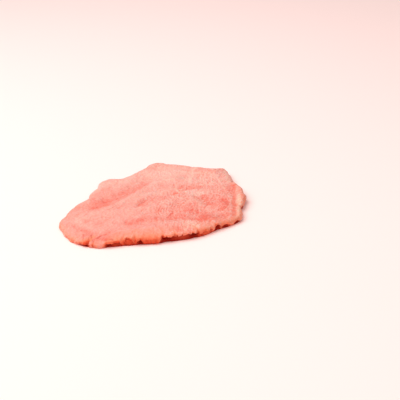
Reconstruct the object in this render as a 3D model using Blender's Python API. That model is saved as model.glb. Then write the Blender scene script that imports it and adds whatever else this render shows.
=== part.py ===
"""A raw pork schnitzel: one thin slice of leg meat, lying flat.

The slice has a blunt, thin tip at -X, long soft ridges and valleys on top, a hollow near its right
front, and a wavy rim. The top turns over a lip, which is pleated and notched. In places the lip is
lifted, over a wall with small caves that stands back below it. The underside is flat.

Sizes are in millimetres and angles in degrees, until slice_object scales the mesh to metres.
Angles run round the slice's middle, from +X towards +Y.
"""

import math

import bpy
import numpy as np
from mathutils import Vector, noise
from mathutils.geometry import delaunay_2d_cdt

METRES_PER_MM = 0.001

# ---- driving sizes ----
MIDDLE_THICKNESS = 9.2      # through the middle of the slice
SIDE_THICKNESS = 7.6        # just inside the rim
TIP_THICKNESS = 5.6         # at the blunt left tip
DOME_RADII = (74.0, 60.0)   # where the middle has thinned to the sides
TIP_SPAN = (-56.0, -92.0)   # X where the tip starts to thin, and where it is thinnest
TIP_SHARE = 0.85            # of the way to that thickness, so the tip keeps some relief
RIM_INSET = 9.5             # the rim's rounding starts this far inside the lip

RIM_STEP = 2.0              # spacing of the mesh's points round the rim
FIELD_STEP = 3.3            # and over the top
BASE_STEP = 14.0            # and under the flat base
RING_CLEARANCE = 0.65       # both keep this share of a step clear of the rim's points

# How far the slice reaches from its middle: (angle, reach), with its corners where it has them.
OUTLINE = [
    (6, 96.4), (10, 93.0), (25, 85.4), (37, 90.4), (44, 91.8), (51, 95.8), (61, 82.8), (75, 72.4),
    (81, 70.6), (85, 74.0), (89, 81.6), (96, 80.6), (103, 73.2), (109, 71.2), (116, 71.4),
    (122, 69.8), (128, 72.8), (134, 78.2), (147, 85.6), (155, 92.2), (164, 92.6), (183, 93.4),
    (197, 87.0), (204, 80.4), (213, 75.2), (222, 73.0), (242, 71.8), (252, 73.2), (263, 76.4),
    (281, 80.2), (292, 87.6), (299, 87.0), (308, 82.6), (313, 84.6), (333, 85.4), (340, 84.2),
    (348, 85.6),
]
SCALLOP_DEPTH = 0.9         # the lip's lobes stand out and fall back by this
SCALLOP_SPACING = 13.0      # along the rim
SCALLOP_SEED = 4.7

# Where the lip is lifted off the surface: (from angle, to angle, share of the most it lifts).
ARCHES = [
    (180.5, 188.0, 0.34), (184.4, 190.6, 0.62), (197.4, 205.0, 0.64), (201.0, 209.6, 0.44),
    (208.8, 217.8, 0.92), (217.0, 224.4, 0.66), (233.4, 264.4, 0.86), (262.0, 275.4, 0.50),
    (273.4, 281.8, 0.78), (280.2, 287.4, 0.50), (288.2, 301.0, 0.30), (303.0, 326.0, 0.80),
    (324.0, 346.0, 0.70), (352.0, 370.0, 0.60), (16.0, 34.0, 0.50), (44.0, 58.0, 0.60),
    (72.0, 90.0, 0.45), (104.0, 120.0, 0.50), (136.0, 148.0, 0.45),
]
ARCH_END = 2.8              # each lift rises and falls over this many degrees
LIP_HEIGHT = (0.16, 0.66)   # the lip's underside, as a share of the thickness: down, lifted
NOSE_HEIGHT = (0.38, 0.80)  # and the place where it stands out most
SHOULDER = (2.1, 3.6)       # how squarely the top turns over the lip
SHOULDER_INSETS = [RIM_INSET, 6.8, 4.6, 2.8, 1.4, 0.45, 0.0]

# Caves in the wall below the lip: (angle, half width in degrees, depth). A negative one juts out.
CAVES = [
    (187.8, 1.5, 1.0), (200.8, 2.2, 2.4), (213.2, 2.6, -1.5), (220.6, 2.0, 2.2),
    (240.0, 3.2, 2.8), (250.5, 4.5, -0.9), (260.0, 2.4, 2.6), (269.0, 3.4, -1.6),
    (277.5, 2.4, 2.2), (332.0, 5.0, 1.2), (52.0, 6.0, 1.8), (80.0, 5.0, 1.2), (112.0, 5.0, 1.4),
    (142.0, 4.0, 1.2),
]
CAVE_AT_FOOT = 0.4          # the share of a cave's depth that its foot stands back
UNDERCUT = (1.0, 2.4)       # how far the wall stands back below a lip that is down, or lifted
FOOT_INSET = (1.9, 1.6)     # and its foot
LEAST_WALL = 0.4            # both stand back by this at least
LIP_TURN = (0.2, 0.65)      # just under the lip's edge: its inset, and its share of the way down
LIP_UNDERSIDE = 0.9         # the lip's underside runs in by up to this
WALL_SPAN = (0.84, 0.30)    # the wall runs between these shares of the lip's height
FOOT_STEP = 0.2             # the flat base starts this far inside the foot

# Cuts into the lip: (angle, half width in degrees, depth).
NOTCHES = [
    (189.5, 0.7, 1.8), (192.5, 0.5, 1.5), (200.4, 0.9, 0.8), (217.4, 0.9, 0.6), (237.4, 1.0, 1.8),
    (246.3, 1.0, 1.8), (262.6, 0.9, 1.8), (276.6, 1.0, 1.2), (328.0, 2.0, 0.9), (20.0, 2.6, 1.2),
    (72.0, 3.0, 1.2), (137.0, 2.6, 1.2),
]
NOTCH_LENGTH = 4.5          # they run up over the lip and end this far inside it
TERRACE = (211.8, 3.0, 2.8) # a wide one, where the lip stands back over a lower layer

# Soft relief of the top: (height, half width, points along the crest or the floor).
RELIEF = {
    "far_ridge": (1.8, 9.0, [(-42, 62), (-15, 71), (11, 67), (54, 66), (72, 46), (84, 14)]),
    "far_valley": (-2.2, 8.5, [(-46, 42), (-36, 38), (-20, 41), (-6, 40), (13, 44), (28, 48)]),
    "valley_step": (-0.6, 3.2, [(-50, 33), (-40, 28), (-33, 26), (-12, 31), (4, 37)]),
    "long_ridge": (
        1.5, 6.0, [(-78, 24), (-58, 25), (-40, 21), (-12, 23), (6, 29), (28, 33), (46, 24)]
    ),
    "leaf": (-1.3, 4.4, [(-18, 3), (-8, 6), (4, 8), (12, 7)]),
    "leaf_rim": (0.5, 2.4, [(-20, 7), (-12, 11), (0, 15), (12, 17)]),
    "leaf_lip": (0.4, 2.6, [(-20, -2), (-10, -5), (4, -10)]),
    "pit": (-1.3, 2.8, [(21, 2), (27, -1)]),
    "lower_ridge": (0.8, 5.5, [(-52, 14), (-36, 10), (-24, 0), (-12, -9), (4, -14)]),
    "dark_patch": (-1.5, 5.5, [(-44, -17), (-36, -24), (-28, -30)]),
    "swirl_hollow": (-0.8, 9.0, [(-18, -16), (-12, -36)]),
    "right_hollow": (-1.9, 13.0, [(6, -30), (14, -46), (28, -46)]),
    "right_dip": (-1.2, 6.0, [(37, -18), (36, -34), (46, -44)]),
    "slanting_dip": (-0.9, 4.5, [(22, 4), (34, 1), (44, -3), (56, -9)]),
    "front_band": (2.2, 8.0, [(-66, -24), (-52, -33), (-38, -43), (-23, -52), (10, -66)]),
    "inner_band": (-1.1, 4.0, [(74, -24), (66, -40), (53, -55), (44, -64), (34, -75)]),
    "fat_flap": (1.6, 4.6, [(82, -22), (77, -33), (71, -44), (62, -58), (46, -73)]),
    "right_ridge": (1.0, 7.0, [(58, 36), (70, 24), (78, 6)]),
    "tip_fold": (-0.7, 3.2, [(-79, 33), (-80, 19), (-77, 2)]),
    "pleat": (-0.9, 1.7, [(-90, -15), (-82, -12), (-77, -8)]),
    "wide_pleat": (-0.9, 1.9, [(-86, -20), (-79, -17.5), (-73, -18.5), (-69, -24)]),
}
SWELLS = [(26.0, 0.60, 1.3), (11.0, 0.40, 8.1), (6.5, 0.30, 5.2)]   # spacing, height, seed

MEAT_COLOUR = (0.92, 0.41, 0.31, 1.0)
MEAT_ROUGHNESS = 0.42


# ---- small helpers, all on arrays ----
def ease(start, end, value):
    """0 before start and 1 after end, with a smooth rise between them."""
    share = np.clip((value - start) / (end - start), 0.0, 1.0)
    return share * share * (3.0 - 2.0 * share)


def blend(low, high, share):
    """The value this share of the way from low to high."""
    return low + (high - low) * share


def bump(distance, half_width):
    """A soft bell, 1 at its middle and about a third at its half width."""
    return np.exp(-((distance / half_width) ** 2))


def ruffle(x, y, spacing, seed):
    """Smooth noise from about -1 to 1, with waves of this spacing."""
    places = zip((x / spacing + seed).tolist(), (y / spacing - seed).tolist())
    return np.array([noise.noise((a, b, seed)) for a, b in places])


def round_curve(knots, angle):
    """A smooth closed curve through (angle, value) knots, read at an array of angles."""
    at = np.array([knot[0] for knot in knots], float)
    value = np.array([knot[1] for knot in knots], float)
    angle = angle % 360.0
    after = np.searchsorted(at, angle, side="right")
    a, b, c, d = ((after + k) % len(at) for k in (-2, -1, 0, 1))
    span = (at[c] - at[b]) % 360.0
    share = ((angle - at[b]) % 360.0) / span
    slope_b = (value[c] - value[a]) / ((at[c] - at[a]) % 360.0) * span
    slope_c = (value[d] - value[b]) / ((at[d] - at[b]) % 360.0) * span
    s2, s3 = share**2, share**3
    return (
        (2 * s3 - 3 * s2 + 1) * value[b] + (s3 - 2 * s2 + share) * slope_b
        + (3 * s2 - 2 * s3) * value[c] + (s3 - s2) * slope_c
    )


def bumps_round(places, angle):
    """The sum of the bumps (angle, half width, height) at an array of angles."""
    total = np.zeros_like(angle)
    for at, width, height in places:
        turn = (angle - at + 180.0) % 360.0 - 180.0
        total += height * bump(turn, width)
    return total


def distance_to_line(x, y, points):
    """How far each (x, y) is from a line through points."""
    nearest = np.full(np.shape(x), np.inf)
    for (ax, ay), (bx, by) in zip(points, points[1:]):
        dx, dy = bx - ax, by - ay
        share = np.clip(((x - ax) * dx + (y - ay) * dy) / (dx * dx + dy * dy), 0.0, 1.0)
        nearest = np.minimum(nearest, np.hypot(x - ax - share * dx, y - ay - share * dy))
    return nearest


# ---- the slice's form ----
def reach(angle):
    """How far the lip reaches from the middle at an angle."""
    base = round_curve(OUTLINE, angle)
    turn = np.radians(angle)
    scallop = ruffle(base * np.cos(turn), base * np.sin(turn), SCALLOP_SPACING, SCALLOP_SEED)
    return base + SCALLOP_DEPTH * scallop


def lift(angle):
    """How open the gap below the lip is and how far the lip is raised, each from 0 to 1."""
    opened = np.zeros_like(angle)
    raised = np.zeros_like(angle)
    for start, end, share in ARCHES:
        along = (angle - start) % 360.0
        length = end - start
        arch = ease(0.0, ARCH_END, along) * (1.0 - ease(length - ARCH_END, length, along))
        opened = np.maximum(opened, arch)
        raised = np.maximum(raised, share * arch)
    return opened, raised


def top_height(x, y):
    """The height of the top over (x, y), before the rim rounds it off."""
    dome = np.exp(-((x / DOME_RADII[0]) ** 2) - (y / DOME_RADII[1]) ** 2)
    height = blend(SIDE_THICKNESS, MIDDLE_THICKNESS, dome)
    for rise, width, points in RELIEF.values():
        height = height + rise * bump(distance_to_line(x, y, points), width)
    for spacing, rise, seed in SWELLS:
        height = height + rise * ruffle(x, y, spacing, seed)
    thinning = ease(TIP_SPAN[0], TIP_SPAN[1], x)
    return blend(height, TIP_THICKNESS, TIP_SHARE * thinning)


def rim_sections(angle):
    """The rim's section at each angle, from the top inwards round the lip to the base.

    Gives the reach and, as arrays of angles by steps, each step's inset from the lip and height.
    """
    turn = np.radians(angle)
    outer = reach(angle)
    edge = outer - RIM_INSET
    thickness = top_height(edge * np.cos(turn), edge * np.sin(turn))
    opened, raised = lift(angle)
    notch = bumps_round([*NOTCHES, TERRACE], angle)
    cave = bumps_round(CAVES, angle) * opened
    nose = thickness * blend(*NOSE_HEIGHT, raised)
    lip_bottom = thickness * blend(*LIP_HEIGHT, raised)
    wall = np.maximum(blend(*UNDERCUT, opened) + cave, LEAST_WALL)
    foot = np.maximum(blend(*FOOT_INSET, opened) + CAVE_AT_FOOT * cave, LEAST_WALL)
    square = blend(*SHOULDER, raised)
    insets, heights = [], []
    for inset in SHOULDER_INSETS:
        x, y = (outer - inset) * np.cos(turn), (outer - inset) * np.sin(turn)
        share = (1.0 - (1.0 - inset / RIM_INSET) ** square) ** 0.5
        insets.append(inset + notch * max(1.0 - inset / NOTCH_LENGTH, 0.0) ** 2)
        heights.append(nose + (top_height(x, y) - nose) * share)
    under_lip = notch + LIP_UNDERSIDE * np.clip(wall - notch, 0.0, 1.0)
    insets += [LIP_TURN[0] + notch, under_lip, wall, foot, foot + FOOT_STEP]
    heights += [blend(nose, lip_bottom, LIP_TURN[1]), lip_bottom]
    heights += [WALL_SPAN[0] * lip_bottom, WALL_SPAN[1] * lip_bottom, np.zeros_like(angle)]
    return outer, np.stack(insets, 1), np.stack(heights, 1)


# ---- the solid ----
def rim_angles():
    """Angles round the rim, spaced evenly along the outline."""
    step = 0.25
    fine = np.arange(0.0, 360.0, step)
    here, there = round_curve(OUTLINE, fine), round_curve(OUTLINE, fine + step)
    steps = np.hypot(there - here, here * math.radians(step))
    lengths = np.concatenate([[0.0], np.cumsum(steps)])
    count = round(lengths[-1] / RIM_STEP)
    return np.interp(np.arange(count) * lengths[-1] / count, lengths, np.append(fine, 360.0))


def fill_ring(x, y, step):
    """Points spread evenly inside a ring, and the triangles between them and the ring."""
    row = step * math.sqrt(0.75)
    size = np.hypot(x, y).max()
    rows = np.arange(-int(size / row), int(size / row) + 1)
    columns = np.arange(-int(size / step) - 1, int(size / step) + 1)
    jj, kk = np.meshgrid(rows, columns, indexing="ij")
    px, py = ((kk + 0.5 * (jj % 2)) * step).ravel(), (jj * row).ravel()
    order = np.argsort(np.degrees(np.arctan2(y, x)) % 360.0)
    angles = (np.degrees(np.arctan2(y, x)) % 360.0)[order]
    bound = np.interp(
        np.degrees(np.arctan2(py, px)) % 360.0, angles, np.hypot(x, y)[order], period=360.0
    )
    kept = np.hypot(px, py) < bound - RING_CLEARANCE * step
    px, py = px[kept], py[kept]
    points = [Vector(place) for place in zip([*x, *px], [*y, *py])]
    _, _, faces, _, _, _ = delaunay_2d_cdt(points, [], [list(range(len(x)))], 1, 1e-6)
    return px, py, np.array(faces)


def slice_arrays():
    """The slice's points and triangles: the rim's rings, then the top, then the base."""
    angle = rim_angles()
    outer, insets, heights = rim_sections(angle)
    count, steps = insets.shape
    turn = np.radians(angle)[:, None]
    x, y = (outer[:, None] - insets) * np.cos(turn), (outer[:, None] - insets) * np.sin(turn)
    points = [np.stack([x, y, heights], 2).reshape(-1, 3)]
    here = np.arange(count)[:, None] * steps + np.arange(steps - 1)[None, :]
    there = np.roll(here, -1, axis=0)
    quads = np.stack([here, here + 1, there + 1, there], 2).reshape(-1, 4)
    triangles = [quads[:, [0, 1, 2]], quads[:, [0, 2, 3]]]

    ring = np.arange(count) * steps
    top_x, top_y, top_faces = fill_ring(x[:, 0], y[:, 0], FIELD_STEP)
    numbers = np.concatenate([ring, count * steps + np.arange(len(top_x))])
    triangles.append(numbers[top_faces])
    points.append(np.stack([top_x, top_y, top_height(top_x, top_y)], 1))

    base_x, base_y, base_faces = fill_ring(x[:, -1], y[:, -1], BASE_STEP)
    start = count * steps + len(top_x)
    numbers = np.concatenate([ring + steps - 1, start + np.arange(len(base_x))])
    triangles.append(numbers[base_faces[:, ::-1]])
    points.append(np.stack([base_x, base_y, 0.0 * base_x], 1))
    return np.concatenate(points), np.concatenate(triangles)


def slice_object(name):
    """The whole slice as one closed mesh, in metres, with its base on Z = 0."""
    points, triangles = slice_arrays()
    middle = (points.max(axis=0) + points.min(axis=0)) / 2.0
    middle[2] = 0.0
    data = bpy.data.meshes.new(name)
    data.from_pydata(((points - middle) * METRES_PER_MM).tolist(), [], triangles.tolist())
    data.shade_smooth()
    piece = bpy.data.objects.new(name, data)
    bpy.context.scene.collection.objects.link(piece)
    return piece


def meat_material():
    """Pale pink, moist raw meat."""
    material = bpy.data.materials.new("raw_meat")
    material.use_nodes = True
    shader = material.node_tree.nodes["Principled BSDF"]
    shader.inputs["Base Color"].default_value = MEAT_COLOUR
    shader.inputs["Roughness"].default_value = MEAT_ROUGHNESS
    shader.inputs["Metallic"].default_value = 0.0
    return material


def main():
    for old in list(bpy.data.objects):
        bpy.data.objects.remove(old, do_unlink=True)
    schnitzel = slice_object("schnitzel")
    schnitzel.data.materials.append(meat_material())


main()
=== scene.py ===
"""The looks of a raw pork schnitzel: one thin slice of leg meat, lying flat.

The slice is one closed mesh that replaces the plain solid. It has the solid's form, worked out
from the same sizes, and adds what is finer: the fibres on top, the fringe and the small lobes of
the lip, and the dimples and grooves of the underside. Sizes are in millimetres and angles in
degrees, until the mesh is scaled to metres. Angles run round the slice's middle, from +X towards
+Y. The seeds only pick one of many like patterns.
"""

import math

import bpy
import numpy as np
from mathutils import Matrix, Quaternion, Vector, noise
from mathutils.geometry import delaunay_2d_cdt


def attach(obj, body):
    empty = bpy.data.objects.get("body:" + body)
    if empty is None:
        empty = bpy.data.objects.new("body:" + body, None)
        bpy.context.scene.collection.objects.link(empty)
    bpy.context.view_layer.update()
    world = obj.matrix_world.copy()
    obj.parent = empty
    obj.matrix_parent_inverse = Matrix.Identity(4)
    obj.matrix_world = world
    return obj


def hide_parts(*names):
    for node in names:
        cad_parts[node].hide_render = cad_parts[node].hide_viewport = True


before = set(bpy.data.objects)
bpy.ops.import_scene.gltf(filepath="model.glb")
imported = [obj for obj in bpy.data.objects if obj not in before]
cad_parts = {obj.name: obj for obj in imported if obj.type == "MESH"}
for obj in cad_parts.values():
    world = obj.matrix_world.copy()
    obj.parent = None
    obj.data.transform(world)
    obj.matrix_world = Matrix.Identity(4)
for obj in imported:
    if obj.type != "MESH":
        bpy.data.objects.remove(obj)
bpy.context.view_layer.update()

METRES_PER_MM = 0.001
NODE = "schnitzel"

# ---- the solid's sizes, as in the part's source ----
MIDDLE_THICKNESS = 9.2      # through the middle of the slice
SIDE_THICKNESS = 7.6        # just inside the rim
TIP_THICKNESS = 5.6         # at the blunt left tip
DOME_RADII = (74.0, 60.0)   # where the middle has thinned to the sides
TIP_SPAN = (-56.0, -92.0)   # X where the tip starts to thin, and where it is thinnest
TIP_SHARE = 0.85            # of the way to that thickness, so the tip keeps some relief
RIM_INSET = 9.5             # the rim's rounding starts this far inside the lip

# How far the slice reaches from its middle: (angle, reach), with its corners where it has them.
OUTLINE = [
    (6, 96.4), (10, 93.0), (25, 85.4), (37, 90.4), (44, 91.8), (51, 95.8), (61, 82.8), (75, 72.4),
    (81, 70.6), (85, 74.0), (89, 81.6), (96, 80.6), (103, 73.2), (109, 71.2), (116, 71.4),
    (122, 69.8), (128, 72.8), (134, 78.2), (147, 85.6), (155, 92.2), (164, 92.6), (183, 93.4),
    (197, 87.0), (204, 80.4), (213, 75.2), (222, 73.0), (242, 71.8), (252, 73.2), (263, 76.4),
    (281, 80.2), (292, 87.6), (299, 87.0), (308, 82.6), (313, 84.6), (333, 85.4), (340, 84.2),
    (348, 85.6),
]

# Where the lip is lifted off the surface: (from angle, to angle, share of the most it lifts).
ARCHES = [
    (180.5, 188.0, 0.34), (184.4, 190.6, 0.62), (197.4, 205.0, 0.64), (201.0, 209.6, 0.44),
    (208.8, 217.8, 0.92), (217.0, 224.4, 0.66), (233.4, 264.4, 0.86), (262.0, 275.4, 0.50),
    (273.4, 281.8, 0.78), (280.2, 287.4, 0.50), (288.2, 301.0, 0.30), (303.0, 326.0, 0.80),
    (324.0, 346.0, 0.70), (352.0, 370.0, 0.60), (16.0, 34.0, 0.50), (44.0, 58.0, 0.60),
    (72.0, 90.0, 0.45), (104.0, 120.0, 0.50), (136.0, 148.0, 0.45),
]
ARCH_END = 2.8              # each lift rises and falls over this many degrees
LIP_HEIGHT = (0.16, 0.66)   # the lip's underside, as a share of the thickness: down, lifted
NOSE_HEIGHT = (0.38, 0.80)  # and the place where it stands out most
SHOULDER = (2.1, 3.6)       # how squarely the top turns over the lip

# Caves in the wall below the lip: (angle, half width in degrees, depth). A negative one juts out.
CAVES = [
    (187.8, 1.5, 1.0), (200.8, 2.2, 2.4), (213.2, 2.6, -1.5), (220.6, 2.0, 2.2),
    (240.0, 3.2, 2.8), (250.5, 4.5, -0.9), (260.0, 2.4, 2.6), (269.0, 3.4, -1.6),
    (277.5, 2.4, 2.2), (332.0, 5.0, 1.2), (52.0, 6.0, 1.8), (80.0, 5.0, 1.2), (112.0, 5.0, 1.4),
    (142.0, 4.0, 1.2),
]
CAVE_AT_FOOT = 0.4          # the share of a cave's depth that its foot stands back
UNDERCUT = (1.0, 2.4)       # how far the wall stands back below a lip that is down, or lifted
FOOT_INSET = (1.9, 1.6)     # and its foot
LEAST_WALL = 0.4            # both stand back by this at least
LIP_TURN = (0.2, 0.65)      # just under the lip's edge: its inset, and its share of the way down
LIP_UNDERSIDE = 0.9         # the lip's underside runs in by up to this
WALL_SPAN = (0.84, 0.30)    # the wall runs between these shares of the lip's height
FOOT_STEP = 0.2             # the flat base starts this far inside the foot

# Cuts into the lip: (angle, half width in degrees, depth).
NOTCHES = [
    (189.5, 0.7, 1.8), (192.5, 0.5, 1.5), (200.4, 0.9, 0.8), (217.4, 0.9, 0.6), (237.4, 1.0, 1.8),
    (246.3, 1.0, 1.8), (262.6, 0.9, 1.8), (276.6, 1.0, 1.2), (328.0, 2.0, 0.9), (20.0, 2.6, 1.2),
    (72.0, 3.0, 1.2), (137.0, 2.6, 1.2),
]
NOTCH_LENGTH = 4.5          # they run up over the lip and end this far inside it
TERRACE = (211.8, 3.0, 2.8) # a wide one, where the lip stands back over a lower layer

SCALLOP_DEPTH = 0.9         # the lip's lobes stand out and fall back by this
SCALLOP_SPACING = 13.0      # along the rim
SCALLOP_SEED = 4.7

# Soft relief of the top: (height, half width, points along the crest or the floor).
RELIEF = {
    "far_ridge": (1.8, 9.0, [(-42, 62), (-15, 71), (11, 67), (54, 66), (72, 46), (84, 14)]),
    "far_valley": (-2.2, 8.5, [(-46, 42), (-36, 38), (-20, 41), (-6, 40), (13, 44), (28, 48)]),
    "valley_step": (-0.6, 3.2, [(-50, 33), (-40, 28), (-33, 26), (-12, 31), (4, 37)]),
    "long_ridge": (
        1.5, 6.0, [(-78, 24), (-58, 25), (-40, 21), (-12, 23), (6, 29), (28, 33), (46, 24)]
    ),
    "leaf": (-1.3, 4.4, [(-18, 3), (-8, 6), (4, 8), (12, 7)]),
    "leaf_rim": (0.5, 2.4, [(-20, 7), (-12, 11), (0, 15), (12, 17)]),
    "leaf_lip": (0.4, 2.6, [(-20, -2), (-10, -5), (4, -10)]),
    "pit": (-1.3, 2.8, [(21, 2), (27, -1)]),
    "lower_ridge": (0.8, 5.5, [(-52, 14), (-36, 10), (-24, 0), (-12, -9), (4, -14)]),
    "dark_patch": (-1.5, 5.5, [(-44, -17), (-36, -24), (-28, -30)]),
    "swirl_hollow": (-0.8, 9.0, [(-18, -16), (-12, -36)]),
    "right_hollow": (-1.9, 13.0, [(6, -30), (14, -46), (28, -46)]),
    "right_dip": (-1.2, 6.0, [(37, -18), (36, -34), (46, -44)]),
    "slanting_dip": (-0.9, 4.5, [(22, 4), (34, 1), (44, -3), (56, -9)]),
    "front_band": (2.2, 8.0, [(-66, -24), (-52, -33), (-38, -43), (-23, -52), (10, -66)]),
    "inner_band": (-1.1, 4.0, [(74, -24), (66, -40), (53, -55), (44, -64), (34, -75)]),
    "fat_flap": (1.6, 4.6, [(82, -22), (77, -33), (71, -44), (62, -58), (46, -73)]),
    "right_ridge": (1.0, 7.0, [(58, 36), (70, 24), (78, 6)]),
    "tip_fold": (-0.7, 3.2, [(-79, 33), (-80, 19), (-77, 2)]),
    "pleat": (-0.9, 1.7, [(-90, -15), (-82, -12), (-77, -8)]),
    "wide_pleat": (-0.9, 1.9, [(-86, -20), (-79, -17.5), (-73, -18.5), (-69, -24)]),
}
SWELLS = [(26.0, 0.60, 1.3), (11.0, 0.40, 8.1), (6.5, 0.30, 5.2)]   # spacing, height, seed

# ---- the fine mesh ----
RIM_STEP = 0.56             # spacing of the mesh's points round the rim
TOP_STEP = 0.62             # and over the top
BASE_STEP = 1.3             # and under the base
RIM_STEPS = 30              # points down the rim's section
RING_CLEARANCE = 0.75       # the points inside a ring keep this share of a step clear of it
GRID_REACH = 100.0          # and come from a grid that runs this far each way from the middle
FILL_RING = 1               # the triangulation's setting that fills a ring and nothing outside it
POINT_GAP = 1e-6            # points closer than this are one
ANGLE_STEP = 0.05           # degrees, for measuring along the outline
MEAN_REACH = 80.0           # the outline's reach, roughly, for the spacing of what runs round it

# ---- the fibres of the top: long and fine at the left, short and coarse at the right ----
COARSE_SPAN = (-34.0, 12.0)             # X where they start to turn coarse, and where they are so
COARSE_LEAN = 0.5                       # this border leans by this share of Y
COARSE_WANDER = (30.0, 12.0, 3.9)       # and wanders: spacing, distance, seed
FIBRE_BEND = (14.0, 1.6, 1.7)           # the fibres bend: spacing, distance, seed

LONG_HEIGHT = 0.30
LONG_FIBRES = (12.0, 3.6, 20.0, 2.3)    # direction, spacing across and along, seed
FINE_FIBRES = (20.0, 1.3, 6.0, 5.3)     # the same, of finer ones among them
SPECKLE = (1.5, 6.6)                    # spacing and seed
LEFT_SHARES = (0.6, 0.7, 1.2)           # of long fibres, fine fibres and speckle

COARSE_HEIGHT = 0.32
STROKES = (28.0, 1.7, 6.0, 8.2)         # short crests: direction, spacing across and along, seed
STEEP_STROKES = (46.0, 1.7, 6.0, 2.7)   # and the ones that run more away from the front lip
STEEP_PLACES = (14.0, 6.1)              # where those lie: spacing and seed
STEEP_BORDER = (-0.2, 0.2)              # and where they take over, in that noise
RIGHT_SHARES = (0.35, 0.75, 0.8)        # of crimped fibres, strokes and speckle
NEAR_SPAN = (30.0, -5.0)                # Y where the far side ends, and where the near one starts
NEAR_STRENGTH = (0.66, 1.1)             # of the coarse relief: at the far side, at the near one

CRIMPED_DIRECTION = 36.0
CRIMPED_SPACING = 2.9
CRIMPED_WANDER = [(15.0, 2.6, 5.9), (6.0, 1.1, 0.7), (2.8, 0.4, 3.3)]   # spacing, fibres, seed
CRIMPED_BREAKS = (7.5, 0.9, 4.1)        # where they fade: spacing, amount, seed
CRIMPED_SHARE = 0.55                    # their strength between full and faded places

WHORL_MIDDLE = (-6.3, -20.0)            # a whorl in the fibres
WHORL_DIRECTION = 45.5
WHORL_STRETCH = 2.2                     # it is this much longer than it is wide
WHORL_RADIUS = 7.5
WHORL_SPACING = 1.9                     # between its rings
WHORL_WANDER = 0.45                     # its rings wander by this share of what the fibres do
WHORL_EDGE = (0.6, 1.2)                 # the rings end between these shares of its radius
WHORL_UNBROKEN = 0.5                    # they fade by this much less
WHORL_SHARES = (1.0, 0.1)               # of crimped fibres and strokes

CREST_SHARPNESS = 4.5                   # how fast a thin crest falls off, in its noise
CREST_DEPTH = 1.5                       # and how far

# ---- the rim's ribs, lobes, folds and tears ----
# Places down the rim's section run from 0 at the top to 1 at the base.
RIBS = (2.1, 7.0, 3.1)                  # spacing round the rim, length across it, seed
LOBES = (4.8, 10.0, 5.5)
FOLDS = (3.4, 2.4, 8.8)                 # on the wall alone
RIB_DEPTH = 0.35
LOBE_DEPTH = 0.85
FOLD_DEPTH = 0.6
# Painted shade: the wall's folds are warmer and darker, and the ribs lighter.
FOLD_WARM_SHADE = 0.10                      # the wall's folds are warmer by this
RIB_COOLNESS = 0.08                     # and the ribs less warm
RELIEF_START = (0.15, 0.5)              # all come in between these places down the section
RELIEF_END = (0.93, 1.0)                # and end between these
WALL_START = (0.68, 0.78)               # the wall starts between these
TOP_DETAIL_END = (0.3, 0.6)             # the top's fibres and creases end between these

LIP_WAVES = (5.4, 2.2)                  # waves of the lip's lower edge: spacing and seed
LIP_WAVE_HEIGHT = 1.2
SMALL_WAVES = (2.2, 7.2)
SMALL_WAVE_HEIGHT = 0.5
LIP_DROP = 0.6                          # the edge hangs lower by this
TEAR_WIDTH = 0.14                       # it is torn where the waves' noise is this near to 0
TEAR_RISE = 2.2                         # a tear runs up this far
TEAR_DEPTH = 0.8                        # and is set back this far
LIP_EDGE = (0.60, 0.12)                 # the lip's lower edge: its place and half width
TEAR_EDGE = (0.60, 0.10)                # and the same for a tear

# ---- the underside's dimples and grooves ----
DIMPLES = (30.0, 5.0, 16.0, 4.4)        # direction, spacing across and along, seed
SMALL_DIMPLES = (12.0, 0.6, 7.7)        # spacing, share, seed
DIMPLE_DEPTH = 0.7
GROOVE_DEPTH = 0.6
BASE_MARGIN = 8.0                       # both fade out this far from the base's edge
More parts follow.
